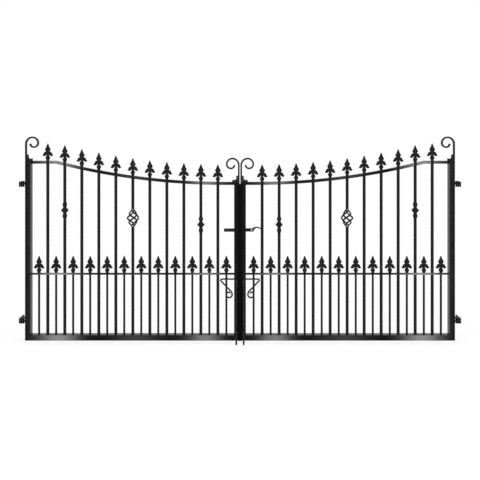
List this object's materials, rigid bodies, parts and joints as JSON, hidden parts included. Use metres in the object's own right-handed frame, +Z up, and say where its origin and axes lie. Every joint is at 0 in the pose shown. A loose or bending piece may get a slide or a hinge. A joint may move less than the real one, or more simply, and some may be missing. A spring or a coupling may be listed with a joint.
{
  "type": "wrought iron double driveway gate",
  "caption": "Double driveway gate in black wrought iron: two leaves with a swept top rail, spear finials, scrolls, twisted baskets, drop bolts and a sliding latch on wall hinges.",
  "frame": {"origin": "On the wall face of the lower left hinge plate, level with its pin and in the middle plane of the bars", "axes": "+X across the opening from the left wall to the right wall, -Y towards the drive that the leaves open into, +Z up"},
  "size_m": [3.353, 0.118, 1.5735],
  "materials": {
    "frame": "gloss black paint on box section",
    "bars": "gloss black paint on round bar",
    "castings": "gloss black paint on castings",
    "scrolls": "gloss black paint on forged bar",
    "fittings": "gloss black paint on hinges, bolts and latch"
  },
  "bodies": {
    "wall_hinges": {"left_lower_hinge_bracket": "fittings", "left_upper_hinge_bracket": "fittings", "right_lower_hinge_bracket": "fittings", "right_upper_hinge_bracket": "fittings", "hinge_pins": "fittings"},
    "left_leaf": {"left_hinge_stile": "frame", "left_meeting_stile": "frame", "left_bottom_rail": "frame", "left_top_rail": "frame", "left_bar_strip": "bars", "left_tall_bars": "bars", "left_dog_bars": "bars", "left_tall_finials": "castings", "left_dog_finials": "castings", "left_collars": "castings", "left_basket": "bars", "left_hinge_scroll": "scrolls", "left_meeting_scroll": "scrolls", "left_stem_leaves": "castings", "left_hinge_eyes": "fittings", "left_bolt_guides": "fittings", "latch_keep": "fittings"},
    "right_leaf": {"right_hinge_stile": "frame", "right_meeting_stile": "frame", "right_bottom_rail": "frame", "right_top_rail": "frame", "right_bar_strip": "bars", "right_tall_bars": "bars", "right_dog_bars": "bars", "right_tall_finials": "castings", "right_dog_finials": "castings", "right_collars": "castings", "right_basket": "bars", "right_hinge_scroll": "scrolls", "right_meeting_scroll": "scrolls", "right_stem_leaves": "castings", "right_hinge_eyes": "fittings", "right_bolt_guides": "fittings", "latch_guides": "fittings"},
    "left_drop_bolt": {"left_drop_bolt": "fittings"},
    "right_drop_bolt": {"right_drop_bolt": "fittings"},
    "latch_bolt": {"latch_bolt": "fittings"}
  },
  "joints": [
    {"name": "left_leaf_swing", "type": "hinge", "parent": "wall_hinges", "child": "left_leaf", "pos_m": [0.022, 0, 0], "axis": [0, 0, -1], "range_deg": [0, 90]},
    {"name": "right_leaf_swing", "type": "hinge", "parent": "wall_hinges", "child": "right_leaf", "pos_m": [3.331, 0, 0], "axis": [0, 0, 1], "range_deg": [0, 90]},
    {"name": "left_bolt_lift", "type": "slide", "parent": "left_leaf", "child": "left_drop_bolt", "axis": [0, 0, 1], "range_m": [0, 0.1]},
    {"name": "right_bolt_lift", "type": "slide", "parent": "right_leaf", "child": "right_drop_bolt", "axis": [0, 0, 1], "range_m": [0, 0.1]},
    {"name": "latch_slide", "type": "slide", "parent": "right_leaf", "child": "latch_bolt", "axis": [-1, 0, 0], "range_m": [0, 0.04]}
  ]
}
